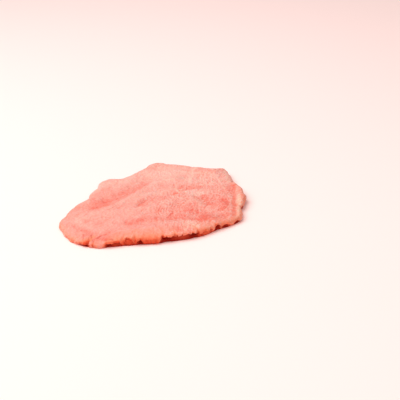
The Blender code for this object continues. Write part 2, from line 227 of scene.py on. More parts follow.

# ---- the colours of the meat ----
# Where the meat is redder (above 0) or paler (below 0): (amount, half width, line).
# Those along a valley, hollow, pit, dip or fold of the relief are painted shade, and those along
# a ridge or rise, or on the far right side and the tip, are painted light; the others simply
# make it redder or paler.
REDNESS_AND_SHADING = {
    "far_valley": (0.38, 8.5, [(-44, 38), (-36, 38), (-20, 41), (-6, 39), (14, 43), (28, 47)]),
    "valley_floor": (0.55, 4.2, [(-44, 37), (-39, 34), (-33, 32)]),
    "valley_top": (0.30, 4.0, [(-38, 45), (-30, 41), (-20, 35)]),
    "ridge_start": (0.25, 4.0, [(-51, 25), (-44, 22)]),
    "valley_step": (0.32, 2.8, [(-40, 27), (-33, 25), (-12, 30), (4, 36), (24, 41)]),
    "leaf_tip": (0.26, 2.4, [(-20, 4), (-13, 7), (-5, 9)]),
    "leaf_foot": (0.28, 3.2, [(-13, 0), (-7, -2)]),
    "leaf": (0.30, 5.0, [(-11, 5), (0, 6), (9, 4)]),
    "dark_patch": (0.60, 4.6, [(-43, -17), (-39, -19), (-33, -21)]),
    "pit": (1.10, 2.6, [(21, 0), (26, 0)]),
    "slanting_dip": (0.38, 3.6, [(34, 4), (44, -2), (52, -8)]),
    "whorl_top": (0.30, 3.2, [(0, -12), (-5, -20)]),
    "whorl_left": (0.35, 2.8, [(-2, -7), (-10, -16), (-17, -25), (-23, -30)]),
    "whorl_right": (0.55, 2.4, [(7, -17), (-1, -27), (-11, -35)]),
    "swirl_right": (0.35, 4.0, [(-9, -38), (-4, -45)]),
    "right_hollow": (0.70, 7.0, [(14, -40), (14, -51), (12, -61)]),
    "hollow_edge": (0.25, 9.0, [(8, -24), (10, -36)]),
    "hollow_start": (0.35, 4.0, [(1, -35), (0, -40)]),
    "above_fringe": (0.42, 5.5, [(-26, -23), (-18, -34), (-9, -43), (1, -53), (10, -61)]),
    "right_front": (0.55, 4.5, [(11, -70), (18, -72), (26, -69), (34, -75)]),
    "right_middle": (0.50, 3.5, [(31, -54), (31, -59)]),
    "front_left": (0.30, 4.0, [(-66, -29), (-60, -34)]),
    "pleats": (0.45, 5.0, [(-82, -3), (-78, -10), (-74, -17), (-68, -21)]),
    "pleat_fronts": (0.75, 4.0, [(-86, -13), (-83, -16), (-80, -20), (-74, -27)]),
    "fringe_top": (0.75, 4.0, [(-4, -55), (0, -61), (5, -67)]),
    "fringe_side": (0.65, 4.5, [(-22, -62), (-18, -67), (-17, -71)]),
    "far_corner": (0.45, 5.0, [(-35, 54), (-24, 56), (-13, 59)]),
    "right_dip": (0.80, 5.0, [(38, -26), (35, -38), (34, -42)]),
    "right_end": (1.00, 5.0, [(48, -42), (44, -51), (34, -60)]),
    "inner_band": (0.80, 3.0, [(74, -27), (66, -38), (53, -53), (41, -66), (33, -75)]),
    "band_top": (0.40, 3.5, [(66, -30), (59, -38)]),
    "flap_spot": (0.60, 2.6, [(65, -50), (61, -56)]),
    "tip_arc": (0.32, 4.0, [(-80, 25), (-80, 16), (-77, 2)]),
    "tip_pale": (-0.25, 2.6, [(-72, 27), (-73, 13), (-71, -2)]),
    "far_ridge": (-0.55, 13.0, [(-34, 62), (-12, 66), (12, 62), (36, 56), (58, 42)]),
    "far_right": (-0.40, 11.0, [(34, 36), (50, 20), (62, 4), (78, -8)]),
    "leaf_side": (-0.50, 5.0, [(3, 18), (14, 14)]),
    "right_rise": (-0.60, 5.0, [(35, -8), (43, -19)]),
    "right_strokes": (-0.50, 2.2, [(59, -41), (45, -57), (31, -73)]),
    "small_rise": (-0.45, 4.0, [(7, -14), (3, -24)]),
    "long_ridge": (-0.30, 5.0, [(-76, 24), (-56, 24), (-40, 20), (-11, 23), (6, 28), (28, 32)]),
    "lower_ridge": (-0.20, 6.0, [(-50, 14), (-34, 8), (-16, -3), (2, -12)]),
}
# The cream fat, skin and sinew: (amount, half width, line).
FAT = {
    "flap": (0.90, 2.8, [(64, -49), (56, -56), (52, -63), (46, -69)]),
    "flap_end": (0.75, 2.6, [(46, -68), (38, -76), (32, -81)]),
    "white_lobe": (0.8, 2.4, [(22, -83), (25, -81)]),
    "far_vein": (0.40, 1.5, [(76, 29), (69, 27), (62, 18), (56, 16), (50, 8)]),
    "corner_vein": (0.35, 1.4, [(90, 3), (86, -6), (79, -12), (76, -20)]),
    "cross_vein": (0.35, 1.3, [(60, 34), (66, 24), (74, 12)]),
}
FAT_GAP = (0.9, 2.4, [(65, -50), (61, -56)])        # a pinker spot in the flap
FAT_RAGGEDNESS = (4.0, 0.5, 9.1)        # the fat's uneven edges: spacing, share, seed
VEINS = (10.0, 7.4)                     # thin veins at the right: spacing and seed
VEIN_WIDTH = 0.05                       # half width, in their noise
VEIN_PLACES = (20.0, 1.1)               # where they lie: spacing and seed
VEIN_SHARE = 0.35                       # and how much of the meat has them
VEIN_FAT = 0.6                          # how much fat a vein shows
STRAND_LINE = [(-7, -54), (-9, -62), (-8, -70)]     # where pale strands lie near the front lip
STRAND_REACH = 5.0                      # half width of that place
STRANDS = (40.0, 1.9, 10.0, 3.1)        # their direction, spacing across and along, seed
STRAND_SHARE = 0.5                      # they are this much paler and fatter
RED_CLOUDS = [(13.0, 0.14, 2.9), (5.0, 0.12, 6.3)]      # soft blotches: spacing, amount, seed
# The fibres' crests are paler and their grooves redder: partly the tissue's own tone, partly
# painted shade in the grooves. Near the lip the crests also carry less painted warm shade.
FIBRE_PALENESS = (0.32, 0.70)           # of the fibres' crests: at the left, at the right
FIBRE_COOLNESS = 0.35                   # they are less warm by this near the lip

# Thin creases in the left half, dark with painted shade: (depth, half width, line).
CREASES = [
    (0.25, 0.50, [(-82.6, -0.3), (-87.5, -7.2)]),
    (0.50, 0.60, [(-79.2, -7.6), (-82.1, -12.1)]),
    (0.45, 0.55, [(-83.4, -9.6), (-86.2, -13.2), (-88.6, -16.4)]),
    (0.45, 0.50, [(-79.4, -16.5), (-78.0, -17.2), (-75.6, -16.1), (-72.7, -17.5), (-70.7, -19.3)]),
    (0.45, 0.90, [(-76.3, -26.3), (-75.6, -27.4)]),
    (0.45, 0.80, [(-73.9, -28.4), (-72.2, -30.0), (-71.9, -31.2)]),
    (0.4, 0.50, [(-83.7, -15.5), (-85, -19.3), (-87, -22)]),
    (0.30, 0.45, [(-70.8, 26.0), (-64.2, 24.8), (-55.3, 26.2)]),
    (0.28, 0.45, [(-45.9, 17.9), (-37.4, 17.2), (-31.2, 18.0)]),
    (0.28, 0.60, [(-21.0, 27.1), (-15.5, 24.5)]),
    (0.30, 0.90, [(-18.8, 35.5), (-16.6, 36.0)]),
    (0.20, 0.40, [(-74, 18), (-63, 14), (-52, 10.5)]),
]

# Painted shade, warm like light through the meat: how much warmer and darker the rim turns
# towards its foot: (angle, share).
EDGE_WARM_SHADE = [
    (0, 0.20), (20, 0.10), (60, 0.10), (120, 0.15), (150, 0.28), (163, 0.26), (170, 0.28),
    (174, 0.40), (178, 0.52), (182.5, 0.24), (184.5, 0.60), (186.3, 1.40), (189.2, 3.20),
    (190.5, 0.40), (192.7, 0.26), (194.5, 0.22), (198, 0.24), (200.5, 0.95), (209, 1.10),
    (214, 1.40), (220, 1.30), (230, 1.30), (236, 1.25), (244, 0.70), (257, 0.55), (263, 0.90),
    (270, 0.70),
    (274, 0.55), (280, 0.45), (284, 0.65), (288, 0.45), (294, 0.65), (300, 0.50), (306, 0.60),
    (313, 0.75), (319, 0.70), (326, 0.55), (340, 0.50), (350, 0.35),
]
# Bumps round the rim: (angle, half width in degrees, amount).
LOW_LIPS = [(236.4, 2.2, 1.4), (247.5, 4.0, 1.2), (256.0, 2.5, -0.6)]   # the lip hangs lower, in mm
# Painted light: the lip is paler here.
LIT_LIPS = [(246.0, 12.0, 0.15), (275.0, 7.0, 0.45)]                   # the lip is paler
# Painted shade on the wall below the lip: less of it here, or more.
LESS_SHADED_WALLS = [(183.5, 2.5, 0.50), (204.5, 2.5, 0.25), (252.0, 4.0, 0.20), (268.5, 4.5, 0.50)]
MORE_SHADED_WALLS = [(188.6, 1.8, 0.40), (207.5, 1.8, 0.35), (251.0, 9.0, 0.50), (284.0, 8.0, 0.40)]
LIT_LIP_BAND = (2.0, 2.5)              # how far inside the lip a pale one is palest, half width

SHOULDER_INSETS = [RIM_INSET, 6.8, 4.6, 2.8, 1.4, 0.45, 0.0]    # from the top out to the lip
# How much painted warm shade each of those insets has:
SHOULDER_WARM_SHADE = (
    [0.12, 0.16, 0.24, 0.36, 0.50, 0.64, 0.74],     # down the shoulder of a lip that is down
    [0.12, 0.13, 0.14, 0.17, 0.22, 0.30, 0.40],     # and of one that is lifted
)
LIP_WARM_SHADE = (0.80, 0.60)               # the same for the lip's edge: down, lifted
UNDER_LIP_WARM_SHADE = 0.9
TOP_WARM_SHADE_END = 1.9 * RIM_INSET        # the top has no more of it this far inside the lip
BASE_WARM_SHADE = 0.08

# Bumps of painted shade down the rim's section: (place, half width, amount).
NOTCH_WARM_SHADE = (0.55, 0.35, 0.26)       # how warm a notch is for each millimetre of its depth
NOTCH_SHADE = (0.65, 0.15, 0.30)        # and how dark
LIP_SHADE = (0.77, 0.045, 0.45)         # the dark line right under a lifted lip

WALL_SHADE = 0.35                       # how dark the wall under a lifted lip is
CAVE_SHADE = 0.3                        # and how much darker for each millimetre of a cave's depth
FOOT_SHADE = 0.85                       # how dark the foot is where the slice rests
FOOT_SHADE_WIDTH = (0.18, 0.09)         # half width of that, down the section: lip down, lifted
# Painted shade in the creases:
CREASE_SHADE = 0.75                     # how dark a crease is for each millimetre of its depth
CREASE_REDNESS = 0.8                    # and how red
UPPER_END = (0.55, 0.75)                # under a lifted lip, the top's colours end between these
BASE_UPPER = 0.7                        # and the base has this share of them

# ---- the material ----
# The meat's pink; its redder colour also paints shade, and its paler one also paints light.
MEAT_PINK = (0.900, 0.352, 0.283, 1.0)
MEAT_RED_AND_SHADED = (0.850, 0.170, 0.120, 1.0)
MEAT_PALE_AND_LIT = (0.920, 0.515, 0.425, 1.0)
FAT_CREAM = (0.930, 0.640, 0.490, 1.0)
# Painted shade: the deep red of the gaps under the lip and of the foot where the slice rests.
SHADE_RED = (0.360, 0.008, 0.002, 1.0)
# Painted shade, warm like light through the meat: salmon, then orange, then a dark red.
WARM_SHADE_COLOURS = [                        # warmth where each comes in, where it is full, colour
    (0.00, 0.34, (0.920, 0.275, 0.165, 1.0)),       # salmon
    (0.28, 0.64, (0.900, 0.180, 0.085, 1.0)),       # orange
    (0.58, 0.95, (0.785, 0.088, 0.033, 1.0)),       # red
]
MEAT_FINISH = {
    "Roughness": 0.46,
    "Specular IOR Level": 0.22,
    "Specular Tint": (1.0, 0.60, 0.40, 1.0),    # the gaps below the lip stay a warm red
    "Subsurface Weight": 0.22,
    "Subsurface Radius": (1.0, 0.35, 0.22),
    "Subsurface Scale": 0.0016,
}
MOTTLE = {"Scale": 420.0, "Detail": 5.0, "Roughness": 0.6}      # redder and paler specks
MOTTLE_REDNESS = 0.9                    # from the palest to the reddest of them
PORES = {"Scale": 1000.0, "Detail": 4.0, "Roughness": 0.6}      # the moist surface's fine bumps
PORE_RELIEF = {"Strength": 0.30, "Distance": 0.0006}

# ---- the camera, in millimetres from the slice's middle ----
CAMERA_SPOT = (-564.39, -783.27, 456.69)
CAMERA_AIM = (41.95, -15.33, 0.0)
CAMERA_ROLL = -4.70
CAMERA_LENS = 101.7
CAMERA_SENSOR = 36.0
CAMERA_NEAR = 0.01          # metres

# ---- the floor and the light, in metres and watts ----
FLOOR_HALF = 6.0                        # half of its side
FLOOR_FINISH = {
    "Base Color": (0.95, 0.81, 0.775, 1.0),
    "Roughness": 0.8,
    "Specular IOR Level": 0.2,
    # Painted glow: the floor gives off a faint warm light, which stands in for the red light the
    # meat throws onto it.
    "Emission Color": (1.0, 0.22, 0.12, 1.0),
    "Emission Strength": 0.16,
}
LIGHTS = {                              # place, diameter and power; each shines on the slice
    "key": ((-0.45, 0.50, 1.25), 1.5, 19.5),
    "fill": ((-0.35, -0.80, 1.15), 1.6, 6.0),
}
WORLD_LIGHT = {"Color": (1.0, 1.0, 1.0, 1.0), "Strength": 0.32}


# ---- small helpers, all on arrays ----
def ease(start, end, value):
    """0 before start and 1 after end, with a smooth rise between them."""
    share = np.clip((value - start) / (end - start), 0.0, 1.0)
    return share * share * (3.0 - 2.0 * share)


def blend(low, high, share):
    """The value this share of the way from low to high."""
    return low + (high - low) * share


def angle_between(first, second):
    """The turn from second to first, from -180 to 180 degrees."""
    return (first - second + 180.0) % 360.0 - 180.0


def bump(distance, half_width):
    """A soft bell, 1 at its middle and about a third at its half width."""
    return np.exp(-((distance / half_width) ** 2))


def noise_at(a, b, c):
    """Smooth noise from about -1 to 1 at these coordinates."""
    a, b, c = np.broadcast_arrays(a, b, c)
    places = zip(a.ravel().tolist(), b.ravel().tolist(), c.ravel().tolist())
    return np.fromiter((noise.noise(place) for place in places), float, a.size).reshape(a.shape)


def ruffle(x, y, spacing, seed):
    """Smooth noise from about -1 to 1, with waves of this spacing."""
    return noise_at(x / spacing + seed, y / spacing - seed, seed)


def ruffles(x, y, layers):
    """The sum of layers (spacing, amount, seed) of such noise."""
    return sum(amount * ruffle(x, y, spacing, seed) for spacing, amount, seed in layers)


def grain(x, y, direction, across, along, seed):
    """Noise drawn out along a direction."""
    turn = math.radians(direction)
    along_it = (x * math.cos(turn) + y * math.sin(turn)) / along
    across_it = (y * math.cos(turn) - x * math.sin(turn)) / across
    return noise_at(along_it + seed, across_it - seed, seed)


def grain_round(angle, along, spacing, length, seed):
    """Noise round the slice, in ribs this far apart that run this far across the rim."""
    turn = np.radians(angle)
    radius = MEAN_REACH / spacing
    a, b = radius * np.cos(turn) + seed, radius * np.sin(turn) - seed
    return noise_at(a, b, along / length + seed)


def waves_round(angle, spacing, seed):
    """Noise round the slice that stays the same across the rim."""
    return grain_round(angle, 0.0, spacing, 1.0, seed)


def angle_of(x, y):
    """The angle of each (x, y) round the slice's middle, from 0 to 360 degrees."""
    return np.degrees(np.arctan2(y, x)) % 360.0


def round_curve(knots, angle):
    """A smooth closed curve through (angle, value) knots, read at an array of angles."""
    at = np.array([knot[0] for knot in knots], float)
    value = np.array([knot[1] for knot in knots], float)
    angle = np.asarray(angle, float) % 360.0
    after = np.searchsorted(at, angle, side="right")
    a, b, c, d = ((after + k) % len(at) for k in (-2, -1, 0, 1))
    span = (at[c] - at[b]) % 360.0
    share = ((angle - at[b]) % 360.0) / span
    slope_b = (value[c] - value[a]) / ((at[c] - at[a]) % 360.0) * span
    slope_c = (value[d] - value[b]) / ((at[d] - at[b]) % 360.0) * span
    s2, s3 = share**2, share**3
    return (
        (2 * s3 - 3 * s2 + 1) * value[b] + (s3 - 2 * s2 + share) * slope_b
        + (3 * s2 - 2 * s3) * value[c] + (s3 - s2) * slope_c
    )


def bumps_round(places, angle):
    """The sum of the bumps (angle, half width, height) at an array of angles."""
    return sum(height * bump(angle_between(angle, at), width) for at, width, height in places)


def bump_down(place, down):
    """A bump (place, half width, amount) down the rim's section."""
    middle, width, amount = place
    return amount * bump(down - middle, width)


def distance_to_line(x, y, points):
    """How far each (x, y) is from a line through points."""
    nearest = np.full(np.shape(x), np.inf)
    for (ax, ay), (bx, by) in zip(points, points[1:]):
        dx, dy = bx - ax, by - ay
        share = np.clip(((x - ax) * dx + (y - ay) * dy) / (dx * dx + dy * dy), 0.0, 1.0)
        nearest = np.minimum(nearest, np.hypot(x - ax - share * dx, y - ay - share * dy))
    return nearest


# ---- the slice's form ----
def reach(angle):
    """How far the lip reaches from the middle at an angle."""
    base = round_curve(OUTLINE, angle)
    turn = np.radians(angle)
    scallop = ruffle(base * np.cos(turn), base * np.sin(turn), SCALLOP_SPACING, SCALLOP_SEED)
    return base + SCALLOP_DEPTH * scallop


def lift(angle):
    """How open the gap below the lip is and how far the lip is raised, each from 0 to 1."""
    opened = np.zeros_like(angle)
    raised = np.zeros_like(angle)
    for start, end, share in ARCHES:
        along = (angle - start) % 360.0
        length = end - start
        arch = ease(0.0, ARCH_END, along) * (1.0 - ease(length - ARCH_END, length, along))
        opened = np.maximum(opened, arch)
        raised = np.maximum(raised, share * arch)
    return opened, raised


def top_height(x, y):
    """The height of the top over (x, y), before the rim rounds it off."""
    dome = np.exp(-((x / DOME_RADII[0]) ** 2) - (y / DOME_RADII[1]) ** 2)
    height = blend(SIDE_THICKNESS, MIDDLE_THICKNESS, dome)
    for rise, width, points in RELIEF.values():
        height = height + rise * bump(distance_to_line(x, y, points), width)
    for spacing, rise, seed in SWELLS:
        height = height + rise * ruffle(x, y, spacing, seed)
    thinning = ease(TIP_SPAN[0], TIP_SPAN[1], x)
    return blend(height, TIP_THICKNESS, TIP_SHARE * thinning)


def rim_sections(angle):
    """The rim's section at each angle, from the top inwards round the lip to the base.

    Gives the reach and, as arrays of angles by steps, each step's inset from the lip, its height
    and how much painted warm shade its colour has.
    """
    turn = np.radians(angle)
    outer = reach(angle)
    edge = outer - RIM_INSET
    thickness = top_height(edge * np.cos(turn), edge * np.sin(turn))
    opened, raised = lift(angle)
    notch = bumps_round([*NOTCHES, TERRACE], angle)
    cave = bumps_round(CAVES, angle) * opened
    nose = thickness * blend(*NOSE_HEIGHT, raised)
    lip_bottom = thickness * blend(*LIP_HEIGHT, raised)
    wall = np.maximum(blend(*UNDERCUT, opened) + cave, LEAST_WALL)
    foot = np.maximum(blend(*FOOT_INSET, opened) + CAVE_AT_FOOT * cave, LEAST_WALL)
    one = np.ones_like(angle)
    insets, heights, warm_shades = [], [], []
    square = blend(*SHOULDER, raised)
    for inset, down_warm_shade, lifted_warm_shade in zip(SHOULDER_INSETS, *SHOULDER_WARM_SHADE):
        x, y = (outer - inset) * np.cos(turn), (outer - inset) * np.sin(turn)
        share = (1.0 - (1.0 - inset / RIM_INSET) ** square) ** 0.5
        insets.append(inset + notch * max(1.0 - inset / NOTCH_LENGTH, 0.0) ** 2)
        heights.append(nose + (top_height(x, y) - nose) * share)
        warm_shades.append(blend(down_warm_shade, lifted_warm_shade, raised))
    under_lip = notch + LIP_UNDERSIDE * np.clip(wall - notch, 0.0, 1.0)
    insets += [LIP_TURN[0] + notch, under_lip, wall, foot, foot + FOOT_STEP]
    heights += [blend(nose, lip_bottom, LIP_TURN[1]), lip_bottom]
    heights += [WALL_SPAN[0] * lip_bottom, WALL_SPAN[1] * lip_bottom, 0.0 * one]
    warm_shades += [blend(*LIP_WARM_SHADE, raised), UNDER_LIP_WARM_SHADE * one, one, one, one]
    return outer, np.stack(insets, 1), np.stack(heights, 1), np.stack(warm_shades, 1)


def smooth_section(values, steps):
    """A smooth line through each row of values, read at this many even steps."""
    last = values.shape[1] - 1
    place = np.linspace(0.0, last, steps)
    start = np.minimum(place.astype(int), last - 1)
    share = place - start
    a = values[:, np.maximum(start - 1, 0)]
    b = values[:, start]
    c = values[:, start + 1]
    d = values[:, np.minimum(start + 2, last)]
    slope_b, slope_c = (c - a) / 2.0, (d - b) / 2.0
    s2, s3 = share**2, share**3
    return (
        (2 * s3 - 3 * s2 + 1) * b + (s3 - 2 * s2 + share) * slope_b
        + (3 * s2 - 2 * s3) * c + (s3 - s2) * slope_c
    )


# ---- finer than the solid ----
def coarse_share(x, y):
    """How coarse the fibres are: 1 in the right half, 0 at the left."""
    return ease(*COARSE_SPAN, x + ruffles(x, y, [COARSE_WANDER]) - COARSE_LEAN * y)


def from_whorl(x, y):
    """How far (x, y) is from the whorl's middle. The whorl is drawn out along its direction."""
    turn = math.radians(WHORL_DIRECTION)
    dx, dy = x - WHORL_MIDDLE[0], y - WHORL_MIDDLE[1]
    along = dx * math.cos(turn) + dy * math.sin(turn)
    across = dy * math.cos(turn) - dx * math.sin(turn)
    return np.hypot(across, along / WHORL_STRETCH)


def crimped_fibres(x, y):
    """Short crimped fibres side by side, from -1 in their grooves to 1 on their crests."""
    turn = math.radians(CRIMPED_DIRECTION)
    wander = ruffles(x, y, CRIMPED_WANDER)
    rows = (y * math.cos(turn) - x * math.sin(turn)) / CRIMPED_SPACING + wander
    away = from_whorl(x, y)
    rings = away / WHORL_SPACING + WHORL_WANDER * wander
    start, end = WHORL_EDGE
    in_whorl = 1.0 - ease(start * WHORL_RADIUS, end * WHORL_RADIUS, away)
    wave = blend(np.cos(2 * np.pi * rows), np.cos(2 * np.pi * rings), in_whorl)
    strength = np.clip(CRIMPED_SHARE + ruffles(x, y, [CRIMPED_BREAKS]), 0.0, 1.0)
    return wave * blend(strength, 1.0, WHORL_UNBROKEN * in_whorl)


def crests(pattern):
    """Thin crests where a noise pattern passes 0, from about -0.5 between them to 1."""
    return 1.0 - np.minimum(CREST_SHARPNESS * np.abs(pattern), CREST_DEPTH)


def fibre_pattern(x, y):
    """The fibres on top: the pattern of their crests, and their relief."""
    bend = ruffles(x, y, [FIBRE_BEND])
    speckle = ruffle(x, y, *SPECKLE)
    long_share, fine_share, speckle_share = LEFT_SHARES
    left = long_share * grain(x, y + bend, *LONG_FIBRES)
    left = left + fine_share * grain(x, y + bend, *FINE_FIBRES) + speckle_share * speckle

    strokes = crests(grain(x + bend, y, *STROKES))
    steep_strokes = crests(grain(x, y + bend, *STEEP_STROKES))
    strokes = blend(strokes, steep_strokes, ease(*STEEP_BORDER, ruffle(x, y, *STEEP_PLACES)))
    in_whorl = bump(from_whorl(x, y), WHORL_RADIUS)
    crimped_share, stroke_share, speckle_share = RIGHT_SHARES
    right = blend(crimped_share, WHORL_SHARES[0], in_whorl) * crimped_fibres(x, y)
    right = right + blend(stroke_share, WHORL_SHARES[1], in_whorl) * strokes
    right = (right + speckle_share * speckle) * blend(*NEAR_STRENGTH, ease(*NEAR_SPAN, y))

    coarse = coarse_share(x, y)
    return blend(left, right, coarse), blend(LONG_HEIGHT * left, COARSE_HEIGHT * right, coarse)


def creases(x, y):
    """How deep each (x, y) lies in a crease."""
    depth = np.zeros(np.shape(x))
    for most, width, line in CREASES:
        depth = np.maximum(depth, most * bump(distance_to_line(x, y, line), width))
    return depth


def top_detail(x, y):
    """The fine relief on top: the fibres and the creases."""
    return fibre_pattern(x, y)[1] - creases(x, y)


def rim_angles():
    """Angles round the rim, spaced evenly along the outline."""
    fine = np.arange(0.0, 360.0, ANGLE_STEP)
    here = round_curve(OUTLINE, fine)
    there = round_curve(OUTLINE, fine + ANGLE_STEP)
    steps = np.hypot(there - here, here * math.radians(ANGLE_STEP))
    lengths = np.append(0.0, np.cumsum(steps))
    count = round(lengths[-1] / RIM_STEP)
    return np.interp(np.arange(count) * lengths[-1] / count, lengths, np.append(fine, 360.0))


def rim_relief(angle, down, height):
    """How far the rim's ribs, lobes, folds and tears move each point out and up.

    Also how much painted warm shade they add, more in the wall's folds and less on the ribs.
    Angle is a column, down a row and height an array of both.
    """
    ribs = grain_round(angle, height, *RIBS)
    lobes = grain_round(angle, height, *LOBES)
    folds = grain_round(angle, height, *FOLDS)
    strength = ease(*RELIEF_START, down) * (1.0 - ease(*RELIEF_END, down))
    fold_depth = FOLD_DEPTH * ease(*WALL_START, down)
    out = strength * (RIB_DEPTH * ribs + LOBE_DEPTH * lobes + fold_depth * folds)
    warmer = strength * (FOLD_WARM_SHADE * folds - RIB_COOLNESS * ribs)

    wave = waves_round(angle, *LIP_WAVES)
    tear = np.clip(1.0 - np.abs(wave) / TEAR_WIDTH, 0.0, 1.0)
    out = out - TEAR_DEPTH * tear * bump(down - TEAR_EDGE[0], TEAR_EDGE[1])
    rise = TEAR_RISE * tear - LIP_DROP + LIP_WAVE_HEIGHT * wave
    rise = rise + SMALL_WAVE_HEIGHT * waves_round(angle, *SMALL_WAVES)
    rise = rise - bumps_round(LOW_LIPS, angle)
    return out, rise * bump(down - LIP_EDGE[0], LIP_EDGE[1]), warmer


def rim_colours(angle, down, opened, warm_shade):
    """How much painted warm shade and painted dark shade each point of the rim has, and how much it
    is coloured like the top.

    Angle and opened are columns, down is a row and warmth an array of both.
    """
    notch = bumps_round(NOTCHES, angle)
    on_wall = ease(*WALL_START, down)
    wall_shade_share = 1.0 - bumps_round(LESS_SHADED_WALLS, angle)
    # Painted warm shade, stronger towards the rim's foot, in the notches and on the wall under a
    # lifted lip.
    rim_warm_shade = round_curve(EDGE_WARM_SHADE, angle)
    warm_shade = warm_shade * rim_warm_shade + notch * bump_down(NOTCH_WARM_SHADE, down)
    warm_shade = np.maximum(warm_shade, opened * on_wall * wall_shade_share)

    # Painted shade, darkening towards a deep red: the wall under a lifted lip and its caves, the
    # line under the lip, the foot where the slice rests, and the notches.
    painted_wall_shade = WALL_SHADE + CAVE_SHADE * bumps_round(CAVES, angle) + bumps_round(MORE_SHADED_WALLS, angle)
    painted_wall_shade = np.clip(painted_wall_shade, 0.0, 1.0) * opened
    foot = bump(down - 1.0, blend(*FOOT_SHADE_WIDTH, opened)) * np.clip(rim_warm_shade, opened, 1.0)
    cave = opened * (painted_wall_shade * on_wall + bump_down(LIP_SHADE, down)) + FOOT_SHADE * foot
    cave = np.clip(cave + notch * bump_down(NOTCH_SHADE, down), 0.0, 1.0) * wall_shade_share
    return warm_shade, cave, 1.0 - opened * ease(*UPPER_END, down)


def rim_rings():
    """The rim's points as arrays (angles by steps) of x, y, z, warmth, cave and upper.

    Cave is how dark a point is with painted shade. Upper is how much it is coloured like the top.
    """
    angle = rim_angles()
    outer, insets, heights, warm_shades = rim_sections(angle)
    inset = smooth_section(insets, RIM_STEPS)
    z = smooth_section(heights, RIM_STEPS)
    warm_shade = smooth_section(warm_shades, RIM_STEPS)
    down = np.linspace(0.0, 1.0, RIM_STEPS)[None, :]
    angle = angle[:, None]
    warm_shade, cave, upper = rim_colours(angle, down, lift(angle)[0], warm_shade)
    out, up, warmer = rim_relief(angle, down, z)
    radius = outer[:, None] - inset + out
    x, y = radius * np.cos(np.radians(angle)), radius * np.sin(np.radians(angle))
    z = z + top_detail(x, y) * (1.0 - ease(*TOP_DETAIL_END, down)) + up
    z = np.maximum(z, 0.0)
    z[:, -1] = 0.0
    return x, y, z, warm_shade + warmer, cave, upper


def ring_reach(x, y, ring_x, ring_y):
    """How far a ring round the middle reaches in the direction of each (x, y)."""
    reaches = np.hypot(ring_x, ring_y)
    return np.interp(angle_of(x, y), angle_of(ring_x, ring_y), reaches, period=360.0)


def fill_ring(ring_x, ring_y, step):
    """Points spread evenly inside a ring, and the triangles between them and the ring."""
    row_step = step * math.sqrt(0.75)       # so the points make triangles of equal sides
    most_row, most_column = int(GRID_REACH / row_step), int(GRID_REACH / step)
    rows = np.arange(-most_row, most_row + 1)
    columns = np.arange(-most_column - 1, most_column + 1)
    row, column = np.meshgrid(rows, columns, indexing="ij")
    x, y = ((column + 0.5 * (row % 2)) * step).ravel(), (row * row_step).ravel()
    inside = np.hypot(x, y) < ring_reach(x, y, ring_x, ring_y) - RING_CLEARANCE * step
    x, y = x[inside], y[inside]
    places = zip(np.append(ring_x, x).tolist(), np.append(ring_y, y).tolist())
    points = [Vector(place) for place in places]
    ring = [list(range(len(ring_x)))]
    faces = delaunay_2d_cdt(points, [], ring, FILL_RING, POINT_GAP)[2]
    return x, y, np.array(faces)


def base_height(x, y, edge_x, edge_y):
    """The dimples and grooves of the underside, which fade out towards its edge."""
    margin = ring_reach(x, y, edge_x, edge_y) - np.hypot(x, y)
    dimples = np.clip(grain(x, y, *DIMPLES) + ruffles(x, y, [SMALL_DIMPLES]), 0.0, 1.0)
    grooves = np.clip(-fibre_pattern(x, y)[1], 0.0, 1.0)
    return ease(0.0, BASE_MARGIN, margin) * (DIMPLE_DEPTH * dimples + GROOVE_DEPTH * grooves)


def top_warm_shade(x, y):
    """How much painted warm shade the top has near the rim."""
    angle = angle_of(x, y)
    inset = reach(angle) - np.hypot(x, y)
    near_rim = 1.0 - ease(RIM_INSET, TOP_WARM_SHADE_END, inset)
    return SHOULDER_WARM_SHADE[0][0] * near_rim * round_curve(EDGE_WARM_SHADE, angle)


def slice_arrays():
    """The slice's points, its triangles and the values that its colour follows at each point."""
    x, y, z, warm_shade, cave, upper = rim_rings()
    count, steps = x.shape
    points = [np.stack([x, y, z], 2).reshape(-1, 3)]
    here = np.arange(count)[:, None] * steps + np.arange(steps - 1)[None, :]
    there = np.roll(here, -1, axis=0)
    quads = np.stack([here, here + 1, there + 1, there], 2).reshape(-1, 4)
    triangles = [quads[:, [0, 1, 2]], quads[:, [0, 2, 3]]]
    ring = np.arange(count) * steps

    top_x, top_y, top_faces = fill_ring(x[:, 0], y[:, 0], TOP_STEP)
    top_z = top_height(top_x, top_y) + top_detail(top_x, top_y)
    start = count * steps
    numbers = np.append(ring, start + np.arange(len(top_x)))
    triangles.append(numbers[top_faces])
    points.append(np.stack([top_x, top_y, top_z], 1))

    base_x, base_y, base_faces = fill_ring(x[:, -1], y[:, -1], BASE_STEP)
    base_z = base_height(base_x, base_y, x[:, -1], y[:, -1])
    start = start + len(top_x)
    numbers = np.append(ring + steps - 1, start + np.arange(len(base_x)))
    triangles.append(numbers[base_faces[:, ::-1]])
    points.append(np.stack([base_x, base_y, base_z], 1))

    top, base = len(top_x), len(base_x)
    # The top has a little painted warm shade near the rim, the base a little all over, and neither
    # has painted dark shade.
    inner_warm_shade = np.append(top_warm_shade(top_x, top_y), np.full(base, BASE_WARM_SHADE))
    values = {
        "warm_shade": np.append(warm_shade, inner_warm_shade),
        "cave": np.append(cave, np.zeros(top + base)),
        "upper": np.concatenate([upper.ravel(), np.ones(top), np.full(base, BASE_UPPER)]),
    }
    return np.concatenate(points), np.concatenate(triangles), values


